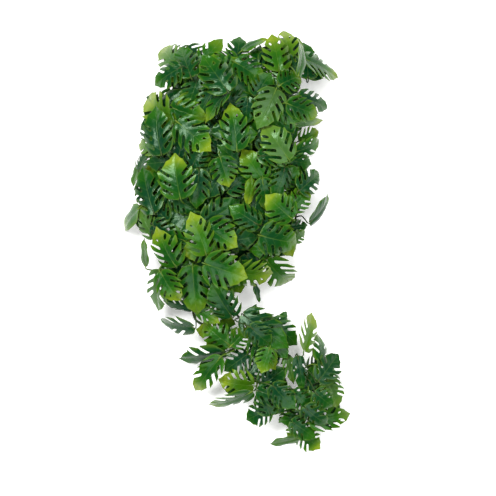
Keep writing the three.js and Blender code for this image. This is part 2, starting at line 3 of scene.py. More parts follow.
import bpy
import numpy as np
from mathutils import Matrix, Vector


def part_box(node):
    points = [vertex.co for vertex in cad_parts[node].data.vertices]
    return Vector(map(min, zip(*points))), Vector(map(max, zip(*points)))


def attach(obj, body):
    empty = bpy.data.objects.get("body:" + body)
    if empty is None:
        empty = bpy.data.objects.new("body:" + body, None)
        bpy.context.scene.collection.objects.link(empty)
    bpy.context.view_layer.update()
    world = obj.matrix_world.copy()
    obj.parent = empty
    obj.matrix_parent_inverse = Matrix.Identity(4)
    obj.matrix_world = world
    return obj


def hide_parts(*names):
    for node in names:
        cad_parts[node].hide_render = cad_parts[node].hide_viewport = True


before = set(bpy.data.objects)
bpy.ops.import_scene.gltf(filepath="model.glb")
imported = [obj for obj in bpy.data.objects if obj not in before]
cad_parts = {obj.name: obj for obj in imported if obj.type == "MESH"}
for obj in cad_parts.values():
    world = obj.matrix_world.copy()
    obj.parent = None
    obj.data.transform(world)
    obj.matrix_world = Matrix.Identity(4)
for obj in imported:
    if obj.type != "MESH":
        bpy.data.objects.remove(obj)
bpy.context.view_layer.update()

# The crown: the short woody base that every leafy stem grows from, cut straight across at its top
# end. It is dry and fibrous, ringed where old leaves dropped off, and it lies on the surface with
# a flat worn along its underside.
millimetre = 0.001
crown_radius = 17
crown_length = 76
crown_middle = (0, 342, 15)
crown_sides = 48
crown_crease = 45
# radius of each ring, and its place along the crown
crown_rings = [
    (12.6, -38), (15.4, -36), (16.6, -32), (16.2, -28), (15.2, -25), (15.3, -19), (16.4, -16), (17.0, -11),
    (16.7, -7), (15.5, -4), (15.3, 3), (16.1, 6), (16.9, 11), (17.0, 19), (16.5, 23), (15.3, 26),
    (15.0, 33), (15.4, 37), (15.2, 38),
]
bark_width, bark_step = 0.0016, -0.0009
pith_width, pith_step = 0.0045, 0.0012
low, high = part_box("crown")
plan_shift = np.array([
    (low.x + high.x) / 2 / millimetre - crown_middle[0],
    (low.y + high.y) / 2 / millimetre - crown_middle[1],
    low.z / millimetre,
])


def in_frame(points):
    return (np.asarray(points, float) + plan_shift) * millimetre


def deselect_everything():
    if bpy.context.object and bpy.context.object.mode != "OBJECT":
        bpy.ops.object.mode_set(mode="OBJECT")
    bpy.ops.object.select_all(action="DESELECT")


def pick_points(piece, wanted):
    bpy.ops.object.mode_set(mode="OBJECT")
    for face in piece.data.polygons:
        face.select = False
    for edge in piece.data.edges:
        edge.select = False
    for vertex in piece.data.vertices:
        vertex.select = bool(wanted(vertex.co))
    bpy.ops.object.mode_set(mode="EDIT")
    bpy.ops.mesh.select_mode(type="VERT")


def apply_modifiers(piece):
    bpy.ops.object.mode_set(mode="OBJECT")
    bpy.context.view_layer.objects.active = piece
    for modifier in list(piece.modifiers):
        bpy.ops.object.modifier_apply(modifier=modifier.name)


deselect_everything()
crown_place = in_frame(crown_middle)
end = crown_place + np.array([0, crown_rings[0][1] * millimetre, 0])
bpy.ops.mesh.primitive_circle_add(
    vertices=crown_sides, radius=crown_rings[0][0] * millimetre, fill_type="NGON", location=end,
    rotation=(math.pi / 2, 0, 0))
crown = bpy.context.object
crown.name = "crown_woody_base"
bpy.ops.object.mode_set(mode="EDIT")
bpy.ops.mesh.select_all(action="SELECT")
for (radius, along), (next_radius, next_along) in zip(crown_rings, crown_rings[1:]):
    bpy.ops.mesh.extrude_region_move(
        TRANSFORM_OT_translate={"value": (0, (next_along - along) * millimetre, 0)})
    grow = next_radius / radius
    ring_middle = crown_place + np.array([0, next_along * millimetre, 0])
    bpy.ops.transform.resize(value=(grow, 1, grow), center_override=tuple(ring_middle))
for width, step in ((bark_width, bark_step), (pith_width, pith_step)):
    bpy.ops.mesh.inset(thickness=width)
    bpy.ops.transform.translate(value=(0, step, 0))
bpy.ops.mesh.select_all(action="SELECT")
bpy.ops.mesh.bisect(plane_co=(0, 0, plan_shift[2] * millimetre), plane_no=(0, 0, 1), clear_inner=True,
                    use_fill=True)
bpy.ops.mesh.select_all(action="SELECT")
bpy.ops.mesh.normals_make_consistent(inside=False)
bpy.ops.object.mode_set(mode="OBJECT")
bpy.ops.object.transform_apply(location=True, rotation=True, scale=True)
bpy.ops.object.shade_smooth_by_angle(angle=math.radians(crown_crease))


def new_material(name):
    material = bpy.data.materials.new(name)
    material.use_nodes = True
    tree = material.node_tree
    return material, tree, tree.nodes["Principled BSDF"]


def add_node(tree, kind, **settings):
    node = tree.nodes.new(kind)
    for name, value in settings.items():
        if name in node.inputs:
            node.inputs[name].default_value = value
        else:
            setattr(node, name, value)
    return node


def add_ramp(tree, source, stops):
    ramp = tree.nodes.new("ShaderNodeValToRGB")
    tree.links.new(source, ramp.inputs[0])
    while len(ramp.color_ramp.elements) < len(stops):
        ramp.color_ramp.elements.new(0.5)
    for element, (place, colour) in zip(ramp.color_ramp.elements, stops):
        element.position = place
        element.color = (*colour, 1)
    return ramp.outputs[0]


def add_relief(tree, skin, height, strength, distance):
    relief = add_node(tree, "ShaderNodeBump", Strength=strength, Distance=distance)
    tree.links.new(height, relief.inputs["Height"])
    tree.links.new(relief.outputs[0], skin.inputs["Normal"])


# fibres per metre, far finer across the crown than along it
fibre_scale = (260, 34, 260)
fibre_tones = [(0.32, (0.035, 0.026, 0.013)), (0.5, (0.105, 0.085, 0.038)), (0.7, (0.21, 0.19, 0.085))]
dry_fibre, tree, skin = new_material("dry_fibrous_wood")
place = add_node(tree, "ShaderNodeTexCoord")
stretch = add_node(tree, "ShaderNodeMapping")
stretch.inputs["Scale"].default_value = fibre_scale
tree.links.new(place.outputs["Object"], stretch.inputs["Vector"])
fibres = add_node(tree, "ShaderNodeTexNoise", Scale=1.0, Detail=6.0, Roughness=0.62)
tree.links.new(stretch.outputs[0], fibres.inputs["Vector"])
tree.links.new(add_ramp(tree, fibres.outputs[0], fibre_tones), skin.inputs["Base Color"])
skin.inputs["Roughness"].default_value = 0.82
add_relief(tree, skin, fibres.outputs[0], 0.7, 0.0008)
crown.data.materials.append(dry_fibre)
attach(crown, "root")
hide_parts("crown")

# The thirteen leafy stems as they lie in the clump: each is one green stem with its leaves, heaped
# side by side under a low mound of foliage, and two run on into the trail. A stem has its route in
# plan, how high it runs in the mound, and its leaves with their widths and looks.
mound_foot = 9
mound_roundness = 3
layer_share = {1: 0.46, 2: 0.66, 3: 0.84, 4: 1}
slope_reach = 24
# from the crown's end to the trail's: place along the plant, middle, half width and height
mound = [
    (440, 14, 90, 34), (410, 10, 140, 66), (364, 8, 180, 108), (284, -8, 192, 134),
    (164, -22, 196, 142), (64, -30, 200, 140), (-16, -40, 172, 128), (-96, -66, 122, 104),
    (-152, -20, 130, 74), (-206, 34, 150, 68), (-276, 50, 156, 68), (-336, 86, 146, 60),
    (-396, 116, 84, 40), (-430, 124, 50, 24),
]
# name, colour slot, share of the mound's height, start at the crown, route, and the leaves, each with
# its layer, base x and y, tip x and y, width seen from above, and looks
leafy_stems = [
    ("stem_top_right", "foliage_olive", 0.4, (10, 348, 20),
     [(40, 354), (80, 350), (112, 354), (134, 352)], [
        (3, 78, 344, 64, 416, 60, "lime holes"), (2, 100, 360, 88, 428, 52, "lime holes"),
        (4, 116, 334, 114, 404, 18, "olive"), (2, 136, 330, 128, 404, 54, "dark"),
        (3, 132, 362, 194, 330, 44, "green"), (3, 82, 312, 122, 330, 50, "green tip"),
    ]),
    ("stem_top", "foliage_dark", 0.46, (1, 354, 23), [(8, 368), (20, 380), (34, 386)], [
        (2, -8, 358, 0, 414, 52, "dark"), (2, 6, 384, 56, 406, 20, "green"),
        (3, -8, 356, 46, 316, 62, "green"), (1, 34, 330, 40, 396, 58, "dark tip"),
    ]),
    ("stem_top_left", "foliage_dark", 0.48, (-10, 336, 22),
     [(-36, 322), (-62, 304), (-84, 290), (-102, 272)], [
        (4, -26, 300, -74, 368, 70, "dark holes"), (3, -52, 304, -88, 240, 50, "dark"),
        (3, -24, 298, -66, 232, 30, "green tip"), (2, -88, 304, -114, 240, 52, "lime holes"),
        (1, -104, 280, -108, 352, 60, "dark"),
    ]),
    ("stem_left_upper", "foliage_olive", 0.36, (-10, 348, 18),
     [(-44, 352), (-92, 336), (-128, 290), (-146, 228), (-154, 172)], [
        (2, -120, 342, -158, 394, 62, "lime"), (3, -98, 330, -118, 388, 60, "dark"),
        (3, -120, 344, -172, 312, 50, "dark tip"), (2, -82, 352, -34, 406, 50, "olive"),
        (2, -134, 244, -189, 294, 66, "lime"), (4, -156, 178, -164, 270, 64, "dark"),
        (2, -168, 184, -206, 198, 36, "lime"), (1, -134, 160, -192, 150, 52, "green"),
        (1, -138, 306, -130, 236, 60, "olive"),
     ]),
    ("stem_left_middle", "foliage_dark", 0.34, (-10, 324, 16),
     [(-44, 294), (-84, 234), (-118, 164), (-142, 100), (-158, 40)], [
        (1, -202, 154, -216, 112, 18, "pale"), (3, -172, 62, -194, 150, 58, "dark"),
        (2, -150, 74, -164, 152, 52, "dark"), (4, -120, 234, -56, 178, 70, "green tip holes"),
        (2, -204, 66, -236, 22, 24, "olive"), (3, -172, 12, -200, 74, 42, "pale"),
        (1, -126, 18, -134, 92, 62, "dark"), (1, -104, 200, -98, 118, 70, "dark"),
     ]),
    ("stem_left_lower", "foliage_green", 0.4, (-11, 310, 10),
     [(-30, 276), (-56, 214), (-80, 144), (-98, 64), (-116, -8), (-138, -62)], [
        (4, -118, 90, -128, 176, 72, "green tip"), (1, -84, 110, -104, 32, 60, "dark"),
        (3, -188, -46, -192, 8, 18, "pale tip"), (4, -130, -44, -164, 32, 54, "green tip holes"),
        (2, -108, 20, -120, 78, 42, "dark"), (3, -160, -62, -160, -138, 38, "pale"),
        (3, -156, -62, -118, -118, 56, "green tip holes"), (2, -100, -132, -154, -116, 26, "dark"),
        (2, -96, -170, -164, -158, 34, "dark"), (1, -92, -58, -124, 10, 62, "dark"),
     ]),
    ("stem_centre_left", "foliage_green", 0.48, (-1, 309, 27),
     [(-14, 276), (-32, 214), (-46, 144), (-60, 54), (-70, -26), (-66, -112)], [
        (4, -38, 164, -22, 108, 58, "green tip holes"), (4, -66, 30, -4, -10, 70, "green tip holes"),
        (3, -68, 40, 0, 84, 60, "blue"), (4, -68, -20, -98, 60, 64, "lime holes"),
        (3, -94, -52, -86, -148, 70, "green"), (4, -66, -44, 14, -70, 76, "green"),
        (1, -24, 268, -38, 184, 68, "dark"), (2, -48, 168, -64, 88, 60, "dark"),
        (1, -52, 10, -20, -60, 60, "dark"),
     ]),
    ("stem_centre", "foliage_olive", 0.36, (5, 309, 17),
     [(4, 276), (-2, 224), (-6, 144), (-8, 64), (-2, -6), (14, -62)], [
        (4, -6, 186, -20, 274, 60, "green tip holes"), (3, 44, 124, 4, 184, 62, "olive"),
        (3, 22, 122, 12, 72, 24, "lime"), (2, -12, 112, -30, 34, 58, "dark"),
        (3, -2, -62, 66, -62, 68, "lime holes"), (1, 30, -86, 38, -122, 14, "dark"),
        (1, 12, 36, 18, -54, 70, "dark"), (1, -24, 182, -36, 100, 64, "dark"),
        (1, -22, -52, 2, -104, 62, "green"),
     ]),
    ("stem_centre_right", "foliage_green", 0.44, (11, 311, 11),
     [(28, 276), (44, 214), (54, 154), (60, 84), (58, 14), (52, -34)], [
        (2, 10, 270, 2, 330, 52, "olive"), (4, 100, 48, 50, 94, 64, "green tip"),
        (4, 44, 12, 116, -2, 72, "green"), (2, 82, 24, 104, -28, 50, "olive"),
        (3, 54, -38, 102, -82, 68, "olive"), (1, 24, 262, 26, 170, 62, "dark"),
        (2, 34, 100, 22, 16, 58, "dark"), (1, 64, 164, 60, 84, 64, "dark"),
     ]),
    ("stem_right_upper", "foliage_dark", 0.48, (10, 336, 22),
     [(40, 318), (72, 296), (102, 268), (122, 240)], [
        (1, 64, 300, 24, 344, 58, "dark"), (1, 90, 284, 104, 352, 50, "dark"),
        (4, 70, 298, 34, 222, 66, "pale holes"), (2, 104, 268, 156, 276, 40, "green"),
        (3, 120, 288, 174, 268, 44, "dark"), (3, 96, 272, 156, 252, 50, "green tip"),
        (2, 110, 234, 166, 246, 18, "olive"),
    ]),
    ("stem_right_lower", "foliage_green", 0.34, (10, 324, 16),
     [(42, 292), (76, 236), (102, 180), (116, 116), (114, 54), (102, 6)], [
        (4, 94, 166, 44, 232, 66, "pale tip holes"), (1, 120, 204, 156, 224, 38, "olive"),
        (2, 112, 180, 160, 206, 32, "green"), (2, 98, 164, 142, 156, 40, "dark"),
        (3, 120, 104, 158, 140, 52, "dark"), (3, 104, 68, 138, 106, 46, "olive"),
        (2, 114, 100, 88, 160, 52, "green"), (2, 104, 28, 136, 34, 28, "dark"),
        (2, 108, 4, 128, 22, 26, "pale"), (3, 142, 42, 178, 98, 24, "dark tip"),
        (1, 82, 272, 104, 196, 60, "dark"),
     ]),
    ("stem_trail_left", "foliage_dark", 0.32, (-7, 309, 23),
     [(-22, 276), (-44, 214), (-64, 144), (-80, 54), (-94, -26), (-96, -106), (-86, -156),
      (-50, -176), (-16, -206), (20, -260), (46, -288), (84, -308), (120, -320)], [
        (3, -84, -136, -40, -162, 32, "olive"), (2, -24, -204, -76, -160, 58, "olive holes"),
        (1, -36, -186, -88, -176, 46, "olive"), (3, -16, -206, 14, -172, 46, "olive"),
        (2, -36, -222, -124, -232, 36, "dark"), (3, -42, -234, -92, -302, 48, "green tip"),
        (2, 14, -226, -32, -260, 52, "dark"), (2, 24, -288, -44, -276, 58, "lime holes"),
        (3, 18, -302, -66, -328, 34, "green"), (2, 44, -288, 92, -252, 56, "dark"),
        (3, 38, -298, 118, -322, 50, "dark"), (2, 116, -306, 62, -340, 48, "dark"),
        (2, 58, -334, 12, -360, 64, "dark"), (1, 108, -336, 78, -364, 26, "dark"),
        (1, -34, -196, -20, -146, 46, "olive"),
     ]),
    ("stem_trail_right", "foliage_green", 0.42, (0, 309, 7),
     [(-8, 276), (-18, 214), (-28, 144), (-36, 64), (-40, -26), (-30, -96), (0, -152),
      (34, -190), (70, -216), (100, -228), (122, -262), (136, -300), (142, -336), (132, -372)], [
        (3, -18, -146, -56, -80, 64, "dark"), (4, 10, -148, 98, -212, 72, "dark tip"),
        (2, 64, -160, 114, -208, 52, "dark"), (1, 72, -176, 94, -140, 26, "dark"),
        (3, 28, -192, 72, -256, 54, "green tip"), (3, 130, -212, 144, -142, 40, "lime"),
        (2, 164, -240, 156, -184, 26, "green"), (3, 158, -274, 196, -226, 56, "blue"),
        (2, 132, -306, 152, -244, 38, "dark"), (3, 116, -232, 124, -298, 34, "dark"),
        (3, 176, -282, 196, -334, 48, "pale tip"), (4, 136, -300, 134, -350, 30, "pale"),
        (3, 144, -361, 225, -346, 50, "olive holes"), (3, 122, -384, 161, -417, 66, "green"),
        (2, 112, -372, 98, -398, 34, "lime"), (3, 114, -394, 58, -406, 24, "pale"),
        (2, 130, -346, 78, -362, 34, "dark"), (1, 152, -284, 162, -342, 46, "dark"),
     ]),
]

longest_leaf = 104
fullest_leaf = 0.9
edge_on_share = 0.45
narrow_leaf = 0.55
least_roll, steepest_roll = 0.3, 0.95
roll_with_mound = 0.7
roll_spread = 0.3
width_share = 0.94
tip_droop = 9
droop_spread = 14
arch_range, fold_range, curl_range = (0.05, 0.11), (0.12, 0.3), (0.45, 0.95)
widest_with_two_slits, widest_entire = 36, 24
draw_state = 4177
draw_factor, draw_range = 16807, 2147483647


def draw(lowest, highest):
    global draw_state
    draw_state = (draw_state * draw_factor) % draw_range
    return lowest + (highest - lowest) * draw_state / draw_range


def clamp(value, lowest, highest):
    return min(highest, max(lowest, value))


def mound_height(x, y):
    number = 0
    while number < len(mound) - 2 and y < mound[number + 1][0]:
        number += 1
    upper, lower = mound[number], mound[number + 1]
    t = clamp((upper[0] - y) / (upper[0] - lower[0]), 0, 1)
    middle, half, height = (a + (b - a) * t for a, b in zip(upper[1:], lower[1:]))
    across = min(1, abs(x - middle) / half)
    return mound_foot + (height - mound_foot) * math.sqrt(1 - across ** mound_roundness)


def pose_leaf(layer, base_x, base_y, tip_x, tip_y, seen_width):
    run = math.hypot(tip_x - base_x, tip_y - base_y)
    heading = math.atan2(tip_y - base_y, tip_x - base_x)
    share = layer_share[layer]
    most = math.sqrt(max(0, longest_leaf ** 2 - run ** 2))
    fall = share * (mound_height(base_x, base_y) - mound_height(tip_x, tip_y)) + tip_droop
    fall += draw(-droop_spread, droop_spread)
    drop = clamp(fall, -most, most)
    length = math.hypot(run, drop)
    mid_x, mid_y = (base_x + tip_x) / 2, (base_y + tip_y) / 2
    aside = (-slope_reach * math.sin(heading), slope_reach * math.cos(heading))
    left = mound_height(mid_x + aside[0], mid_y + aside[1])
    right = mound_height(mid_x - aside[0], mid_y - aside[1])
    lean = share * (left - right) / (2 * slope_reach)
    roll = math.atan(roll_with_mound * lean) + draw(-roll_spread, roll_spread)
    if seen_width < edge_on_share * length:
        steep = math.acos(clamp(seen_width / (narrow_leaf * length), 0, 1))
        roll = math.copysign(clamp(steep, least_roll, steepest_roll), lean)
    leaf = {
        "layer": layer, "length": length, "heading": heading, "roll": roll, "pitch": math.atan2(drop, run),
        "width": min(width_share * seen_width / math.cos(roll), fullest_leaf * length),
        "base": np.array([base_x, base_y, share * mound_height(mid_x, mid_y) + drop / 2]),
        "arch": draw(*arch_range), "fold": draw(*fold_range), "curl": draw(*curl_range),
    }
    leaf["slits"] = 3 if seen_width > widest_with_two_slits else 2 if seen_width > widest_entire else 0
    return leaf


def leaf_axes(leaf):
    h, p, r = leaf["heading"], leaf["pitch"], leaf["roll"]
    along = np.array([math.cos(h) * math.cos(p), math.sin(h) * math.cos(p), -math.sin(p)])
    level = np.array([-math.sin(h), math.cos(h), 0])
    up = np.cross(along, level)
    left = level * math.cos(r) + up * math.sin(r)
    out = up * math.cos(r) - level * math.sin(r)
    return along, left, out


def blade_points(leaf, u, v, lift):
    along, left, out = leaf_axes(leaf)
    arched = leaf["length"] * leaf["arch"] * 4 * u * (1 - u)
    folded = leaf["width"] * (leaf["fold"] * np.abs(v) - leaf["curl"] * v * v)
    return (leaf["base"] + np.outer(u * leaf["length"], along) + np.outer(v * leaf["width"], left)
            + np.outer(arched + folded + lift, out))


stem_radius = 2.9
stem_floor_gap = 0.4
stem_sway = 4
sway_rise_rate, sway_aside_rate = 1.7, 2.1
stem_step = 36
fewest_steps = 4
trail_step = 3
fine_steps = 200


def curve_point(knots, t):
    place = (len(knots) - 1) * t
    number = min(int(place), len(knots) - 2)
    w = place - number
    before = knots[number - 1] if number > 0 else 2 * knots[0] - knots[1]
    after = knots[number + 2] if number + 2 < len(knots) else 2 * knots[-1] - knots[-2]
    a, b = knots[number], knots[number + 1]
    leave, arrive = 0.5 * (b - before), 0.5 * (after - a)
    square = 3 * b - 3 * a - 2 * leave - arrive
    cube = 2 * a - 2 * b + leave + arrive
    return a + leave * w + square * w ** 2 + cube * w ** 3


def spaced_points(knots, steps):
    fine = np.array([curve_point(knots, k / fine_steps) for k in range(fine_steps + 1)])
    lengths = np.concatenate([[0], np.cumsum(np.linalg.norm(np.diff(fine, axis=0), axis=1))])
    if steps is None:
        steps = max(fewest_steps, math.floor(lengths[-1] / stem_step + 0.5))
    places = np.interp(np.linspace(0, lengths[-1], steps + 1), lengths, np.linspace(0, 1, fine_steps + 1))
    return np.array([curve_point(knots, t) for t in places])


def along_chain(chain, step):
    points = []
    for a, b in zip(chain, chain[1:]):
        pieces = max(1, math.floor(math.dist(a, b) / step + 0.5))
        points += [a + (b - a) * (k / pieces) for k in range(pieces)]
    return points


def stem_knots(number, lift, start, route):
    knots = [np.array(start, float)]
    for k, (x, y) in enumerate(route):
        z = lift * mound_height(x, y) + stem_sway * math.sin(sway_rise_rate * k + 2 * number)
        aside = stem_sway * math.sin(sway_aside_rate * k + number)
        knots.append(np.array([x + aside, y, max(stem_radius + stem_floor_gap, z)]))
    return knots


cell = 4
settle_gap = 3
floor_gap = 0.5
blade_thickness = 0.9
blade_start, blade_reach = -0.07, 1.07
sample_rows, sample_half = 26, 11
half_outline = [
    (-0.07, 0.17), (0.03, 0.38), (0.16, 0.47), (0.34, 0.5), (0.52, 0.49), (0.66, 0.42), (0.84, 0.2), (1, 0),
]
heap = {}


def cell_of(x, y, size):
    return (math.floor(x / size), math.floor(y / size))


def stamp_heap(points, rise=0):
    for x, y, z in points:
        heap.setdefault(cell_of(x, y, cell), []).append(z + rise)


def half_width(u):
    return np.interp(u, [a for a, _ in half_outline], [b for _, b in half_outline])


def blade_samples(leaf):
    u = blade_start + blade_reach * np.arange(sample_rows + 1) / sample_rows
    across = np.arange(-sample_half, sample_half + 1) / sample_half
    v = np.outer(half_width(u), across).ravel()
    return blade_points(leaf, np.repeat(u, len(across)), v, np.zeros(len(v)))


def floor_lift(samples):
    return floor_gap + blade_thickness - samples[:, 2].min()


def taken_lifts(samples):
    lifts = []
    for x, y, z in samples:
        lifts += [taken - z for taken in heap.get(cell_of(x, y, cell), ())]
    return sorted(lifts)


def lift_clear(lifts, up):
    for lift in lifts:
        if abs(lift - up) < settle_gap:
            up = lift + settle_gap
    return up


def settle(leaf):
    samples = blade_samples(leaf)
    lifts = taken_lifts(samples)
    least_lift = floor_lift(samples)
    up = lift_clear(lifts, max(0, least_lift))
    down = 0
    for lift in reversed(lifts):
        if abs(lift - down) < settle_gap:
            down = lift - settle_gap
    # it slips down instead of up where that is less than half as far
    goes_down = leaf["layer"] < 4 and down >= least_lift and -2 * down < up
    leaf["base"][2] += down if goes_down else up
    leaf["samples"] = blade_samples(leaf)
    stamp_heap(leaf["samples"])


past_end = 0.01
for y in np.arange(-crown_length / 2, crown_length / 2 + past_end, trail_step):
    for x in np.arange(-crown_radius, crown_radius + past_end, trail_step):
        for z in np.arange(0, crown_radius + past_end, trail_step):
            stamp_heap([(crown_middle[0] + x, crown_middle[1] + y, crown_middle[2] + z)])

stems = []
for number, (name, slot, lift, start, route, _) in enumerate(leafy_stems):
    knots = stem_knots(number, lift, start, route)
    trail = along_chain(spaced_points(knots, None), trail_step)
    stems.append({"name": name, "slot": slot, "knots": knots, "trail": trail, "number": number})
    for aside in (-stem_radius, 0, stem_radius):
        for rise in (-stem_radius, 0, stem_radius):
            stamp_heap([(x + aside, y, z) for x, y, z in trail], rise)
            stamp_heap([(x, y + aside, z) for x, y, z in trail], rise)
for stem, (*_, leaf_list) in zip(stems, leafy_stems):
    stem["leaves"] = []
    for *lie, looks in leaf_list:
        leaf = pose_leaf(*lie)
        leaf["looks"] = looks
        leaf["stem"] = stem
        stem["leaves"].append(leaf)
leaves = [leaf for stem in stems for leaf in stem["leaves"]]
for layer in (1, 2, 3, 4):
    for leaf in leaves:
        if leaf["layer"] == layer:
            settle(leaf)

# Inner leaves: the shaded leaves under the ones that show, grown on the same stems. Some in the trail
# are listed, and the rest are placed wherever fewer than three blades lie over a spot. They stay below
# the surface of the mound, and the ones deep inside have no slits.
cover_cell = 7
cover_wanted = 3
deep_inside = 26
least_room = 6
room_sample_step = 9
lowest_fill_y = -390
fill_edge = 52
fill_reach_x = 240
mound_end_y = -84
highest_fill_y = 384
most_outside = 0.05
most_tries = 6
bare_stem_points = 8
inner_scatter = 12
inner_reach = (26, 38)
inner_width = (44, 62)
inner_roll = 0.35
# the placed inner leaves take these looks, mostly dark and bluish: painted shade where they lie under the
# leaves above
inner_painted_shade_looks = ("dark", "blue", "dark", "blue", "dark", "green")
# bays and gaps that stay open: plan place and radius
clearings = np.array([
    (132, 310, 10), (152, 310, 10), (172, 308, 12), (162, 248, 10), (152, 164, 12), (144, 180, 8),
    (136, 78, 12), (148, 90, 10), (126, 60, 8), (-176, -16, 14), (-160, -32, 10), (-186, 4, 8),
    (-136, -136, 10), (-116, -144, 8), (-34, -216, 7), (-24, -232, 8), (6, -268, 9), (26, -216, 8),
    (96, -282, 14), (90, -256, 8), (136, -228, 14), (114, -220, 8), (-52, -288, 10), (-36, -308, 8),
    (18, -324, 8), (72, -384, 12), (6, -122, 12), (16, -112, 18), (-86, -172, 6), (120, -20, 10),
    (104, -32, 8), (134, 2, 6), (-170, 308, 10), (-154, 304, 6), (-30, 392, 8), (50, 404, 8), (0, -112, 8),
])
# inner leaves of the trail, in rows like those of the leafy stems
trail_inner = [
    (2, 58, -214, 42, -262, 46, "olive"), (1, 14, -272, 50, -232, 44, "dark"),
    (2, 94, -232, 108, -286, 26, "pale"), (2, 126, -300, 154, -344, 44, "green"),
    (1, 106, -300, 142, -334, 46, "dark"), (1, 66, -286, 112, -332, 50, "dark"),
    (1, 36, -310, 86, -346, 46, "blue"), (1, 50, -262, 96, -300, 44, "dark"),
    (1, 150, -300, 186, -330, 48, "dark"), (1, 140, -256, 176, -236, 44, "dark"),
    (1, 130, -330, 176, -366, 48, "dark"), (1, 104, -360, 150, -394, 48, "dark"),
    (1, -30, -218, -70, -196, 46, "olive"), (1, -40, -232, -84, -262, 44, "dark"),
    (1, 20, -168, 62, -206, 52, "dark"), (1, 60, -190, 96, -232, 44, "dark"),
    (1, 24, -206, 44, -250, 44, "dark"), (1, 10, -290, -30, -300, 40, "dark"),
    (1, 126, -268, 160, -296, 44, "blue"),
]
cover = {}
inner_leaves = []


def cover_cells(points):
    return [cell_of(x, y, cover_cell) for x, y, _ in points]


def stamp_cover(leaf):
    for key in set(cover_cells(leaf["samples"])):
        cover[key] = cover.get(key, 0) + 1


def may_cover(x, y):
    return mound_end_y < y < highest_fill_y and mound_height(x, y) > fill_edge


def in_clearing(points):
    gaps = np.linalg.norm(points[:, None, :2] - clearings[None, :, :2], axis=2)
    return bool((gaps < clearings[:, 2]).any())


def nearest_stem(x, y):
    def gap_to(stem):
        return min(math.hypot(p[0] - x, p[1] - y) for p in stem["trail"][bare_stem_points:])

    return min(stems, key=gap_to)


def try_inner_leaf(x, y):
    heading, reach = draw(0, 2 * math.pi), draw(*inner_reach)
    side = (reach * math.cos(heading), reach * math.sin(heading))
    leaf = pose_leaf(1, x - side[0], y - side[1], x + side[0], y + side[1], draw(*inner_width))
    leaf["roll"] += draw(-inner_roll, inner_roll)
    samples = blade_samples(leaf)
    if in_clearing(samples):
        return None
    keys = cover_cells(samples)
    outside = [key not in cover and not may_cover(*point[:2]) for point, key in zip(samples, keys)]
    if sum(outside) > most_outside * len(outside):
        return None
    leaf["base"][2] += lift_clear(taken_lifts(samples), max(0, floor_lift(samples)))
    leaf["samples"] = blade_samples(leaf)
    room = min(mound_height(px, py) - pz for px, py, pz in leaf["samples"][::room_sample_step])
    if room > deep_inside:
        leaf["slits"] = 0
    return leaf if room > least_room else None


for leaf in leaves:
    stamp_cover(leaf)
for *lie, looks in trail_inner:
    leaf = pose_leaf(*lie)
    settle(leaf)
    stamp_cover(leaf)
    leaf["looks"] = looks
    leaf["stem"] = nearest_stem(leaf["base"][0], leaf["base"][1])
    inner_leaves.append(leaf)
for y in np.arange(highest_fill_y, lowest_fill_y, -cover_cell):
    for x in np.arange(-fill_reach_x, fill_reach_x, cover_cell):
        key = cell_of(x, y, cover_cell)
        tries = 0
        while (key in cover or may_cover(x, y)) and cover.get(key, 0) < cover_wanted and tries < most_tries:
            tries += 1
            aside = (draw(-inner_scatter, inner_scatter), draw(-inner_scatter, inner_scatter))
            leaf = try_inner_leaf(x + aside[0], y + aside[1])
            if leaf:
                leaf["looks"] = inner_painted_shade_looks[int(draw(0, len(inner_painted_shade_looks) - 0.001))]
                leaf["stem"] = nearest_stem(leaf["base"][0], leaf["base"][1])
                stamp_heap(leaf["samples"])
                stamp_cover(leaf)
                inner_leaves.append(leaf)

# Petioles: each leaf's own slim green stalk. It leaves the stem a little before the leaf, bows round
# whatever is in its way and runs into the notch of the blade.
petiole_half = 1.4
petiole_approach = 10
approach_dip = 0.33
petiole_rise = 4
petiole_step = 2.5
notch_place = 0.02
end_points = 3
first_root = 6
# which of the stem's points a petiole may start from, counted back from the one nearest to the leaf
petiole_starts = (5, 2, 9, 13, 0)
petiole_bows = [(0, 0), (8, 0), (-8, 0), (0, 8), (0, -8), (15, 0), (-15, 0), (0, 15), (0, -15)]
stalk_clearance, blade_clearance = 6.4, 3.6
stalk_crossing, bow_cost, start_cost = 40, 0.1, 0.2
box_size = 5
taken_boxes = {}
near_boxes = [(n % 3 - 1, n // 3 % 3 - 1, n // 9 - 1) for n in range(27)]


def box_of(x, y, z):
    return (math.floor(x / box_size), math.floor(y / box_size), math.floor(z / box_size))


def take_room(points, stem, is_rod):
    for x, y, z in points:
        taken_boxes.setdefault(box_of(x, y, z), []).append((x, y, z, stem["number"], is_rod))


def crossings(points, stem):
    weight = 0
    for x, y, z in points:
        i, j, k = box_of(x, y, z)
        for di, dj, dk in near_boxes:
            for ox, oy, oz, other, is_rod in taken_boxes.get((i + di, j + dj, k + dk), ()):
                gap = math.sqrt((ox - x) ** 2 + (oy - y) ** 2 + (oz - z) ** 2)
                if is_rod and other != stem["number"] and gap < stalk_clearance:
                    weight += stalk_crossing
                if not is_rod and gap < blade_clearance:
                    weight += 1
    return weight


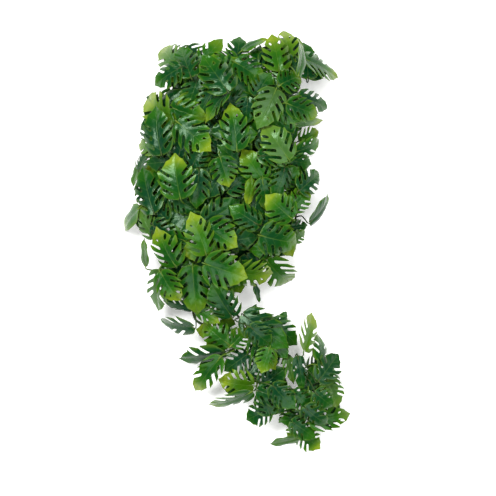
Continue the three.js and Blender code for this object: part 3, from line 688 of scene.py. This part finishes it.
def route_petiole(leaf):
    along, left, out = leaf_axes(leaf)
    trail = leaf["stem"]["trail"]
    base = leaf["base"]
    gaps = [math.hypot(p[0] - base[0], p[1] - base[1]) for p in trail]
    nearest = gaps.index(min(gaps))
    notch = blade_points(leaf, np.array([notch_place]), np.array([0.0]), np.array([0.0]))[0]
    before = notch - along * petiole_approach - out * petiole_approach * approach_dip
    before[2] = max(before[2], petiole_half + floor_gap)
    best = None
    for back in petiole_starts:
        root = trail[int(clamp(nearest - back, first_root, len(trail) - 1))]
        for bow_x, bow_y in petiole_bows:
            middle = (root + before) / 2 + np.array([bow_x, bow_y, petiole_rise])
            middle[2] = max(middle[2], petiole_half + floor_gap)
            chain = [notch] + ([before] if leaf["layer"] > 1 else [])
            chain += ([middle] if bow_x or bow_y else []) + [root]
            points = along_chain(chain, petiole_step)
            weight = crossings(points[end_points:-end_points], leaf["stem"])
            weight += bow_cost * math.hypot(bow_x, bow_y)
            weight += start_cost * back
            if best is None or weight < best[0]:
                best = (weight, chain, points)
    leaf["petiole"] = best[1]
    take_room(best[2], leaf["stem"], True)


for stem in stems:
    take_room(stem["trail"], stem, True)
    for leaf in stem["leaves"]:
        take_room(leaf["samples"], stem, False)
for leaf in leaves + inner_leaves:
    route_petiole(leaf)
for leaf in inner_leaves:
    leaf["stem"]["leaves"].append(leaf)

# The blades: heart-based leathery leaves with a pointed end lobe, cut from the margin inwards by
# narrow slits with round inner ends, and some of them pierced beside the midrib. Each kind is cut
# once from a flat plate, with u along the midrib and v across, and every leaf is a copy of it.
smooth_outline = [
    (-0.07, 0.10), (-0.055, 0.2), (-0.03, 0.285), (0.0, 0.345), (0.05, 0.405), (0.1, 0.442), (0.16, 0.47),
    (0.25, 0.488), (0.34, 0.5), (0.43, 0.502), (0.52, 0.49), (0.6, 0.46), (0.66, 0.42), (0.7, 0.371),
    (0.78, 0.272), (0.84, 0.198), (0.9, 0.124), (0.95, 0.062), (1.0, 0.004),
]
slit_lean = 0.16
slit_depth = 0.46
slit_places = {0: [], 2: [0.4, 0.65], 3: [0.25, 0.455, 0.655]}
slit_end_radius = 0.042
slit_mouths = {-1: 0.65, 0: 0.95, 1: 1.35}
slit_stagger, mouth_stagger = 0.012, 0.6
finger_corner = 0.052
first_finger_start, last_finger_length = 0.08, 0.2
cutter_height = 0.3
cutter_overreach = 0.09
cutter_sides, cutter_squash = 16, 0.1
# place, half length, half width and turn of the holes beside the midrib
holes = [(0.7, 0.185, 0.098, 0.045, 0.8), (0.68, -0.15, 0.05, 0.027, -0.8)]
plate_half, plate_middle, plate_thickness = 0.5, 0.465, 0.01
fine_grid, plain_grid = (32, 14), (18, 8)
# how far the first three columns of points are drawn in at the notch, and how near the midrib
notch_depths, notch_half = (0.075, 0.045, 0.015), 0.03
# the band along the cut edges carries a pale rim, partly the leaf's own margin and partly a painted rim
# highlight
margin_band = 0.011


def margin(u, slits):
    half = np.interp(u, [a for a, _ in smooth_outline], [b for _, b in smooth_outline])
    places = slit_places[slits]
    if not places:
        return half
    for before, after in zip(places, places[1:] + [places[-1] + last_finger_length]):
        if before < u < after:
            half += finger_corner * (2 * (u - before) / (after - before) - 1)
    if first_finger_start < u < places[0]:
        half += finger_corner * (u - first_finger_start) / (places[0] - first_finger_start)
    return half


def slit_cutter(u, side, slits, shift, mouth):
    inner = np.array([u - slit_lean + shift, side * slit_depth * margin(u - slit_lean, slits)])
    outer = np.array([u + shift * mouth_stagger, side * margin(u, slits)])
    way = outer - inner
    turn = math.atan2(way[1], way[0])
    bpy.ops.mesh.primitive_cylinder_add(
        vertices=cutter_sides, radius=slit_end_radius, depth=cutter_height)
    cutter = bpy.context.object
    pick_points(cutter, lambda co: co.x > 0.001)
    reach = float(np.hypot(*way)) + cutter_overreach
    bpy.ops.transform.translate(value=(reach, 0, 0))
    bpy.ops.transform.resize(value=(cutter_squash, mouth, 1), center_override=(reach, 0, 0))
    bpy.ops.object.mode_set(mode="OBJECT")
    cutter.rotation_euler = (0, 0, turn)
    cutter.location = (inner[0], inner[1], 0)
    return cutter


def hole_cutter(u, v, long, wide, turn):
    bpy.ops.mesh.primitive_cylinder_add(
        vertices=cutter_sides, radius=1, depth=cutter_height, location=(u, v, 0), rotation=(0, 0, turn))
    cutter = bpy.context.object
    bpy.ops.transform.resize(value=(long, wide, 1), orient_type="LOCAL")
    return cutter


def select_only(pieces):
    deselect_everything()
    for piece in pieces:
        piece.select_set(True)
    bpy.context.view_layer.objects.active = pieces[0]


def join_pieces(pieces):
    select_only(pieces)
    bpy.ops.object.join()
    return bpy.context.object


def cut_with(blade, cutters):
    knife = join_pieces(cutters)
    bpy.ops.object.transform_apply(location=True, rotation=True, scale=True)
    cut = blade.modifiers.new("cut", "BOOLEAN")
    cut.operation = "DIFFERENCE"
    cut.solver = "EXACT"
    cut.object = knife
    select_only([blade])
    apply_modifiers(blade)
    bpy.data.objects.remove(knife)


def cut_blade(slits, pierced, fine, variant):
    deselect_everything()
    columns, rows = fine_grid if fine else plain_grid
    bpy.ops.mesh.primitive_grid_add(x_subdivisions=columns, y_subdivisions=rows, size=1)
    blade = bpy.context.object
    blade.name = "blade_pattern"
    bpy.ops.object.mode_set(mode="EDIT")
    bpy.ops.mesh.select_all(action="SELECT")
    bpy.ops.transform.resize(value=(blade_reach, 1, 1), center_override=(0, 0, 0))
    bpy.ops.transform.translate(value=(plate_middle, 0, 0))
    column_places = blade_start + blade_reach * np.arange(columns + 1) / columns
    for place in column_places:
        pick_points(blade, lambda co: abs(co.x - place) < 0.002)
        bpy.ops.transform.resize(value=(1, margin(place, slits) / plate_half, 1), center_override=(0, 0, 0))
    for place, depth in zip(column_places, notch_depths):
        pick_points(blade, lambda co: abs(co.x - place) < 0.012 and abs(co.y) < notch_half)
        bpy.ops.transform.translate(value=(depth, 0, 0))
    bpy.ops.mesh.select_all(action="SELECT")
    bpy.ops.mesh.remove_doubles(threshold=0.0012)
    bpy.ops.mesh.extrude_region_move(TRANSFORM_OT_translate={"value": (0, 0, plate_thickness)})
    bpy.ops.mesh.select_all(action="SELECT")
    bpy.ops.transform.translate(value=(0, 0, -plate_thickness / 2))
    bpy.ops.mesh.normals_make_consistent(inside=False)
    bpy.ops.object.mode_set(mode="OBJECT")
    cutters = []
    for side in (1, -1):
        for number, place in enumerate(slit_places[slits]):
            shift = side * variant * slit_stagger * (1 - 0.5 * number)
            cutters.append(slit_cutter(place, side, slits, shift, slit_mouths[variant]))
    if pierced:
        cutters += [hole_cutter(*hole) for hole in holes]
    if cutters:
        cut_with(blade, cutters)
    for face in blade.data.polygons:
        face.select = face.normal.z > 0.5
    bpy.ops.object.mode_set(mode="EDIT")
    bpy.ops.mesh.select_mode(type="FACE")
    bpy.ops.mesh.inset(thickness=margin_band)
    bpy.ops.object.mode_set(mode="OBJECT")
    blade.modifiers.new("triangles", "TRIANGULATE")
    apply_modifiers(blade)
    on_rim = np.zeros(len(blade.data.vertices))
    for face in blade.data.polygons:
        face.material_index = 1 if face.normal.z < -0.5 else 0
        if abs(face.normal.z) < 0.5:
            on_rim[list(face.vertices)] = 1
    rim = blade.data.attributes.new("margin", "FLOAT", "POINT")
    rim.data.foreach_set("value", on_rim)
    return blade


patterns = {}


def blade_pattern(slits, pierced, fine, variant):
    key = (slits, pierced, fine, variant)
    if key not in patterns:
        patterns[key] = cut_blade(*key)
    return patterns[key]


# Every leaf is laid out from its pattern: arched from end to end, folded up along the midrib and
# curled down at the margins, each finger domed over its own side vein. The blades are leathery and
# glossy, from dark bluish green on old leaves to lime on new ones, and paler and duller beneath.
vein_lean = 0.66
# by the number of slits on each side
vein_spacing = {0: 0.2, 2: 0.25, 3: 0.2}
first_vein = {0: 0.018, 2: -0.05, 3: 0.04}
finger_dome = 0.019
finger_curl = 0.12
margin_waver = 1.5
tip_hook = 0.09
# where the dome, the curl and the hook begin, and how far on they are at their fullest
dome_start, dome_run = 0.03, 0.12
curl_start, curl_run = 0.14, 0.34
hook_start, hook_run = 0.55, 0.45
# age at the midrib and at the margins, and how much painted sheen: a pale tint over the blade in place of
# soft highlights
leaf_tones = {
    "blue": (1.0, 0.8, 0.04), "dark": (0.94, 0.52, 0.0), "green": (0.76, 0.16, 0.0),
    "pale": (0.66, 0.34, 0.4), "olive": (0.56, 0.12, 0.0), "lime": (0.42, 0.0, 0.0),
}
# the old middle of a blade: its place, its radius, and how far beyond it the young margin begins
old_middle, old_radius, young_beyond = 0.25, 0.12, 0.46
young_tip_start, young_tip_run = 0.45, 0.45
margin_weight, tip_weight = 0.6, 0.4
age_variation = 0.08
least_age = 0.07
tip_youth = 0.13
lowest_tip = 0.0002
leaf_count = 0


def side_vein_number(slits, u, v):
    return (u - vein_lean * np.abs(v) - first_vein[slits]) / vein_spacing[slits]


def finger_number(slits, u, v):
    passed = np.zeros(len(u))
    for place in slit_places[slits]:
        outer = margin(place, slits)
        inner = slit_depth * margin(place - slit_lean, slits)
        slit_u = place - slit_lean * (outer - np.abs(v)) / (outer - inner)
        passed += u > slit_u
    return passed


# the sines give each finger, and each numbered leaf, its own bend
def surface_relief(leaf, u, v, number):
    between = np.abs(np.mod(side_vein_number(leaf["slits"], u, v) + 0.5, 1) - 0.5)
    dome = finger_dome * (1 - (2 * between) ** 2) * np.clip((np.abs(v) - dome_start) / dome_run, 0, 1)
    outward = np.clip(np.abs(v) / np.maximum(half_width(u), 0.05), 0, 1)
    finger = finger_number(leaf["slits"], u, v) + 5 * (v > 0)
    past_rib = np.clip((np.abs(v) - curl_start) / curl_run, 0, 1) ** 1.5
    curl = finger_curl * np.sin(12.9 * finger + 4.1 * number) * past_rib
    hook = tip_hook * math.sin(2.9 * number) * np.clip((u - hook_start) / hook_run, 0, 1) ** 2
    waver = margin_waver * outward ** 3 * np.sin(11 * u + np.sign(v) + 1.7 * number)
    return leaf["width"] * (dome + curl + hook) + waver


def place_object(name, data):
    piece = bpy.data.objects.new(name, data)
    bpy.context.scene.collection.objects.link(piece)
    return piece


def lay_leaf(leaf):
    global leaf_count
    leaf_count += 1
    fine = leaf["layer"] > 2
    variant = leaf_count % 3 - 1 if leaf["slits"] else 0
    pattern = blade_pattern(leaf["slits"], "holes" in leaf["looks"], fine, variant)
    mesh = pattern.data.copy()
    flat = np.zeros(3 * len(mesh.vertices))
    mesh.vertices.foreach_get("co", flat)
    u, v, w = flat.reshape(-1, 3).T
    if leaf_count % 2:
        v = -v
        mesh.flip_normals()
    relief = surface_relief(leaf, u, v, leaf_count)
    points = in_frame(blade_points(leaf, u, v, relief + w / plate_thickness * blade_thickness))
    # a tip that curls below the surface rests on it instead
    points[:, 2] += max(0, lowest_tip - points[:, 2].min())
    mesh.vertices.foreach_set("co", points.ravel())
    # the third value is the painted sheen, a pale tint standing in for soft highlights
    old_end, new_end, painted_sheen = leaf_tones[leaf["looks"].split()[0]]
    outward = np.clip((np.hypot(u - old_middle, 0.9 * v) - old_radius) / young_beyond, 0, 1)
    toward_tip = np.clip((u - young_tip_start) / young_tip_run, 0, 1)
    age = old_end + (new_end - old_end) * (margin_weight * outward + tip_weight * toward_tip)
    age += age_variation * math.sin(2.3 * leaf_count)
    if "tip" in leaf["looks"]:
        age -= tip_youth * toward_tip
    age = np.maximum(age, least_age)
    for name, values in (("age", age), ("painted_sheen", np.full(len(u), painted_sheen)),
                         ("side_vein", side_vein_number(leaf["slits"], u, v))):
        mesh.attributes.new(name, "FLOAT", "POINT").data.foreach_set("value", values)
    corners = np.zeros(len(mesh.loops), np.int64)
    mesh.loops.foreach_get("vertex_index", corners)
    blade_map = mesh.uv_layers.new(name="blade_map")
    blade_map.data.foreach_set("uv", np.stack([u, v + 0.5], 1)[corners].ravel())
    return place_object("blade", mesh)


def new_group(name, sockets):
    group = bpy.data.node_groups.new(name, "ShaderNodeTree")
    for label, way, kind in sockets:
        group.interface.new_socket(label, in_out=way, socket_type=kind)
    return group, group.nodes.new("NodeGroupInput"), group.nodes.new("NodeGroupOutput")


def add_math(tree, operation, first, second=None, third=None):
    node = add_node(tree, "ShaderNodeMath", operation=operation)
    for number, value in enumerate((first, second, third)):
        if isinstance(value, (int, float)):
            node.inputs[number].default_value = value
        elif value is not None:
            tree.links.new(value, node.inputs[number])
    return node.outputs[0]


def fade(tree, value, full, none):
    node = add_node(tree, "ShaderNodeMapRange", interpolation_type="SMOOTHSTEP")
    tree.links.new(value, node.inputs[0])
    for number, limit in enumerate((full, none, 1, 0), 1):
        node.inputs[number].default_value = limit
    return node.outputs[0]


def add_mix(tree, share, first, second):
    node = add_node(tree, "ShaderNodeMix", data_type="RGBA")
    for socket, value in ((node.inputs[0], share), (node.inputs[6], first), (node.inputs[7], second)):
        if isinstance(value, (int, float)):
            socket.default_value = value
        elif isinstance(value, tuple):
            socket.default_value = (*value, 1)
        else:
            tree.links.new(value, socket)
    return node.outputs[2]


# veins: the midrib and the side veins, from the blade map and the side vein count
rib_half_at_base, rib_narrowing = 0.026, -0.016
rib_edge = (0.35, 1)
vein_edge = (0.015, 0.07)
vein_reach = (0.1, 0.5)
veins, group_in, group_out = new_group("leaf_veins", [
    ("Map", "INPUT", "NodeSocketVector"), ("Side Vein", "INPUT", "NodeSocketFloat"),
    ("Midrib", "OUTPUT", "NodeSocketFloat"), ("Side Veins", "OUTPUT", "NodeSocketFloat")])
parts = add_node(veins, "ShaderNodeSeparateXYZ")
veins.links.new(group_in.outputs[0], parts.inputs[0])
from_rib = add_math(veins, "ABSOLUTE", add_math(veins, "SUBTRACT", parts.outputs[1], 0.5))
rib_half = add_math(veins, "MULTIPLY_ADD", parts.outputs[0], rib_narrowing, rib_half_at_base)
rib_share = add_math(veins, "DIVIDE", from_rib, rib_half)
veins.links.new(fade(veins, rib_share, *rib_edge), group_out.inputs[0])
from_vein = add_math(veins, "PINGPONG", group_in.outputs[1], 0.5)
weaker_outward = fade(veins, from_rib, *vein_reach)
side_veins = add_math(veins, "MULTIPLY", fade(veins, from_vein, *vein_edge), weaker_outward)
veins.links.new(side_veins, group_out.inputs[1])

# mottle: cloudy patches and fine cells of living plant skin, in object space
mottle, group_in, group_out = new_group("living_mottle", [
    ("Patch Scale", "INPUT", "NodeSocketFloat"), ("Cell Scale", "INPUT", "NodeSocketFloat"),
    ("Patches", "OUTPUT", "NodeSocketFloat"), ("Cells", "OUTPUT", "NodeSocketFloat")])
spot = add_node(mottle, "ShaderNodeTexCoord")
patches = add_node(mottle, "ShaderNodeTexNoise", Detail=3.0, Roughness=0.55)
mottle.links.new(spot.outputs["Object"], patches.inputs["Vector"])
mottle.links.new(group_in.outputs[0], patches.inputs["Scale"])
mottle.links.new(patches.outputs[0], group_out.inputs[0])
cells = add_node(mottle, "ShaderNodeTexVoronoi", feature="SMOOTH_F1")
mottle.links.new(spot.outputs["Object"], cells.inputs["Vector"])
mottle.links.new(group_in.outputs[1], cells.inputs["Scale"])
mottle.links.new(cells.outputs["Distance"], group_out.inputs[1])



def add_mottle(tree, patch_scale, cell_scale):
    cloud = add_node(tree, "ShaderNodeGroup", node_tree=mottle)
    cloud.inputs["Patch Scale"].default_value = patch_scale
    cloud.inputs["Cell Scale"].default_value = cell_scale
    return cloud.outputs["Patches"], cloud.outputs["Cells"]


# from the youngest leaf to the oldest
tone_by_age = [
    (0.0, (0.165, 0.225, 0.01)), (0.2, (0.064, 0.135, 0.005)), (0.45, (0.015, 0.08, 0.002)),
    (0.72, (0.0028, 0.042, 0.003)), (1.0, (0.001, 0.026, 0.008)),
]
patch_share, painted_sheen_share, pale_rim_and_highlight_share = 0.3, 0.3, 0.35


def leaf_skin(name, underneath):
    material, tree, skin = new_material(name)
    blade_map = add_node(tree, "ShaderNodeUVMap", uv_map="blade_map")
    named = {}
    for attribute in ("age", "painted_sheen", "side_vein", "margin"):
        named[attribute] = add_node(tree, "ShaderNodeAttribute", attribute_name=attribute).outputs["Fac"]
    ribs = add_node(tree, "ShaderNodeGroup", node_tree=veins)
    tree.links.new(blade_map.outputs[0], ribs.inputs["Map"])
    tree.links.new(named["side_vein"], ribs.inputs["Side Vein"])
    patches, cells = add_mottle(tree, 38, 620)
    shifted = add_math(tree, "MULTIPLY_ADD", patches, patch_share, -patch_share / 2)
    colour = add_ramp(tree, add_math(tree, "ADD", named["age"], shifted), tone_by_age)
    if underneath:
        colour = add_mix(tree, 0.3, colour, (0.045, 0.1, 0.012))
    vein_colour, vein_share = ((0.12, 0.18, 0.05), 0.4) if underneath else ((0.08, 0.16, 0.015), 0.22)
    tints = [
        # painted sheen: a pale grey-green tint over the whole blade in place of soft highlights
        (named["painted_sheen"], painted_sheen_share, (0.21, 0.3, 0.1)),
        (ribs.outputs["Midrib"], vein_share, vein_colour),
        (ribs.outputs["Side Veins"], 0.5 * vein_share, vein_colour),
        # pale rim along the cut edges: partly the leaf's own margin, partly a painted rim highlight
        (named["margin"], pale_rim_and_highlight_share, (0.12, 0.2, 0.015)),
    ]
    for mask, share, tint in tints:
        colour = add_mix(tree, add_math(tree, "MULTIPLY", mask, share), colour, tint)
    tree.links.new(colour, skin.inputs["Base Color"])
    dullness = add_math(tree, "MULTIPLY_ADD", patches, 0.2, 0.5 if underneath else 0.12)
    tree.links.new(dullness, skin.inputs["Roughness"])
    skin.inputs["Specular IOR Level"].default_value = 0.08 if underneath else 0.22
    skin.inputs["Specular Tint"].default_value = (0.7, 1, 0.7, 1)
    # the veins are sunk in the face and stand out beneath
    outward = 1 if underneath else -1
    height = add_math(tree, "MULTIPLY", ribs.outputs["Midrib"], outward)
    for mask, share in ((ribs.outputs["Side Veins"], 0.6 * outward), (cells, 0.12), (patches, 4.0)):
        height = add_math(tree, "MULTIPLY_ADD", mask, share, height)
    add_relief(tree, skin, height, 0.5, 0.0005)
    return material


leaf_face = leaf_skin("glossy_leaf_face", False)
leaf_underside = leaf_skin("dull_leaf_underside", True)

# The stems and petioles themselves: slim, round and green, darker and browner when old, with a
# swollen ring at each node. A petiole thickens where it joins the stem and runs on under its blade as
# the midrib. A leafy stem with all its leaves grown together is one piece, riding with the crown.
stem_thick, stem_thin = 3.0, 2.0
node_swelling = 0.22
node_length = 3
node_spacing = 34
stem_point_step = 4
petiole_point_step = 5
leaf_crease = 40
# the midrib under the blade: places along it, how far it lies below, and the share it runs
midrib_places = np.array([0.2, 0.45, 0.7, 0.88])
midrib_below = np.array([-0.9, -0.8, -0.7, -0.6])
midrib_share = 0.86
# from the stem past the notch to the end of the midrib
petiole_radii = [2.1, 1.5, 1.25, 1.3, 1.5, 1.0, 0.3]
young_looks = ("lime", "olive", "green", "pale")


def stalk_skin(name, dark, middle, light):
    material, tree, skin = new_material(name)
    patches, cells = add_mottle(tree, 55, 480)
    colour = add_ramp(tree, patches, [(0.3, dark), (0.5, middle), (0.68, light)])
    colour = add_mix(tree, fade(tree, cells, 0.05, 0.2), colour, middle)
    tree.links.new(colour, skin.inputs["Base Color"])
    skin.inputs["Roughness"].default_value = 0.5
    skin.inputs["Specular IOR Level"].default_value = 0.2
    add_relief(tree, skin, cells, 0.5, 0.0004)
    return material


old_stalk = stalk_skin(
    "old_stem_skin", (0.01, 0.026, 0.006), (0.02, 0.045, 0.008), (0.042, 0.06, 0.012))
young_stalk = stalk_skin(
    "young_petiole_skin", (0.035, 0.085, 0.006), (0.06, 0.12, 0.009), (0.1, 0.165, 0.015))


def add_tube(tubes, points, radii, is_young):
    run = tubes.splines.new("POLY")
    run.material_index = int(is_young)
    run.points.add(len(points) - 1)
    for spot, place, radius in zip(run.points, in_frame(points), radii):
        spot.co = (*place, 1)
        spot.radius = radius * millimetre


def stem_tubes(stem):
    tubes = bpy.data.curves.new("stem_tubes", "CURVE")
    tubes.dimensions = "3D"
    tubes.bevel_depth = 1
    tubes.bevel_resolution = 2
    tubes.use_fill_caps = True
    tubes.materials.append(old_stalk)
    tubes.materials.append(young_stalk)
    length = len(stem["trail"]) * trail_step
    points = spaced_points(stem["knots"], round(length / stem_point_step))
    along = np.linspace(0, 1, len(points))
    to_node = np.abs(np.mod(along * length, node_spacing) - node_spacing / 2)
    swelling = 1 + node_swelling * np.exp(-(to_node / node_length) ** 2)
    radii = (stem_thick + (stem_thin - stem_thick) * along) * swelling
    add_tube(tubes, points, radii, False)
    for leaf in stem["leaves"]:
        rib = blade_points(leaf, midrib_places, 0 * midrib_places, midrib_below)
        chain = [np.asarray(point, float) for point in leaf["petiole"][::-1]] + list(rib)
        stalk = sum(math.dist(a, b) for a, b in zip(leaf["petiole"], leaf["petiole"][1:]))
        whole = stalk + midrib_share * leaf["length"]
        points = spaced_points(chain, round(whole / petiole_point_step))
        out = np.linspace(0, whole, len(points))
        stations = [0, 6, 0.5 * stalk, stalk - 6, stalk, stalk + 8, whole]
        radii = np.interp(out, stations, petiole_radii)
        add_tube(tubes, points, radii, leaf["looks"].split()[0] in young_looks)
    select_only([place_object("stem_tubes", tubes)])
    bpy.ops.object.convert(target="MESH")
    return bpy.context.object


for stem in stems:
    blades = [lay_leaf(leaf) for leaf in stem["leaves"]]
    for blade in blades:
        blade.data.materials.append(leaf_face)
        blade.data.materials.append(leaf_underside)
    leafy = join_pieces([*blades, stem_tubes(stem)])
    leafy.name = "leafy_" + stem["name"]
    bpy.ops.object.shade_smooth_by_angle(angle=math.radians(leaf_crease))
    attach(leafy, "root")
    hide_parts(stem["name"])
for pattern in patterns.values():
    bpy.data.objects.remove(pattern)

# The floor and the light: a plain white surface under a long soft window light from the upper left,
# two weaker square ones, and a camera that looks straight down on the plant.
bpy.ops.mesh.primitive_plane_add(size=8, location=(0, 0, 0))
floor = bpy.context.object
floor.name = "plain_floor"
white, _, skin = new_material("plain_white")
skin.inputs["Emission Color"].default_value = (1, 1, 1, 1)
skin.inputs["Emission Strength"].default_value = 0.28
skin.inputs["Base Color"].default_value = (0.93, 0.93, 0.92, 1)
skin.inputs["Roughness"].default_value = 0.9
skin.inputs["Specular IOR Level"].default_value = 0.1
floor.data.materials.append(white)

world = bpy.data.worlds.new("soft_room")
bpy.context.scene.world = world
world.use_nodes = True
world.node_tree.nodes["Background"].inputs[0].default_value = (1, 1, 1, 1)
world.node_tree.nodes["Background"].inputs[1].default_value = 0.28


def add_soft_light(name, place, wide, high, power):
    bpy.ops.object.light_add(type="AREA", location=place)
    lamp = bpy.context.object
    lamp.name = name
    lamp.data.shape = "RECTANGLE"
    lamp.data.size = wide
    lamp.data.size_y = high
    lamp.data.energy = power
    toward = Vector((0, 0, 0.05)) - lamp.location
    lamp.rotation_euler = toward.to_track_quat("-Z", "Y").to_euler()


add_soft_light("window_light", (-1.35, 1.5, 3.3), 3.0, 0.8, 215)
add_soft_light("right_light", (2.3, 0.6, 2.9), 2.4, 2.4, 86)
add_soft_light("lower_light", (-0.2, -2.4, 2.8), 2.4, 2.4, 74)

view_middle = (16, -12, 70)
view_distance = 5.0
seen_width = 0.992
sensor_width = 36
camera_data = bpy.data.cameras.new("camera")
camera = place_object("camera", camera_data)
camera_data.sensor_width = sensor_width
camera_data.lens = sensor_width * view_distance / seen_width
camera_data.clip_end = 50
camera.location = Vector(in_frame(view_middle)) + Vector((0, 0, view_distance))
bpy.context.scene.camera = camera
bpy.context.scene.view_settings.view_transform = "Standard"
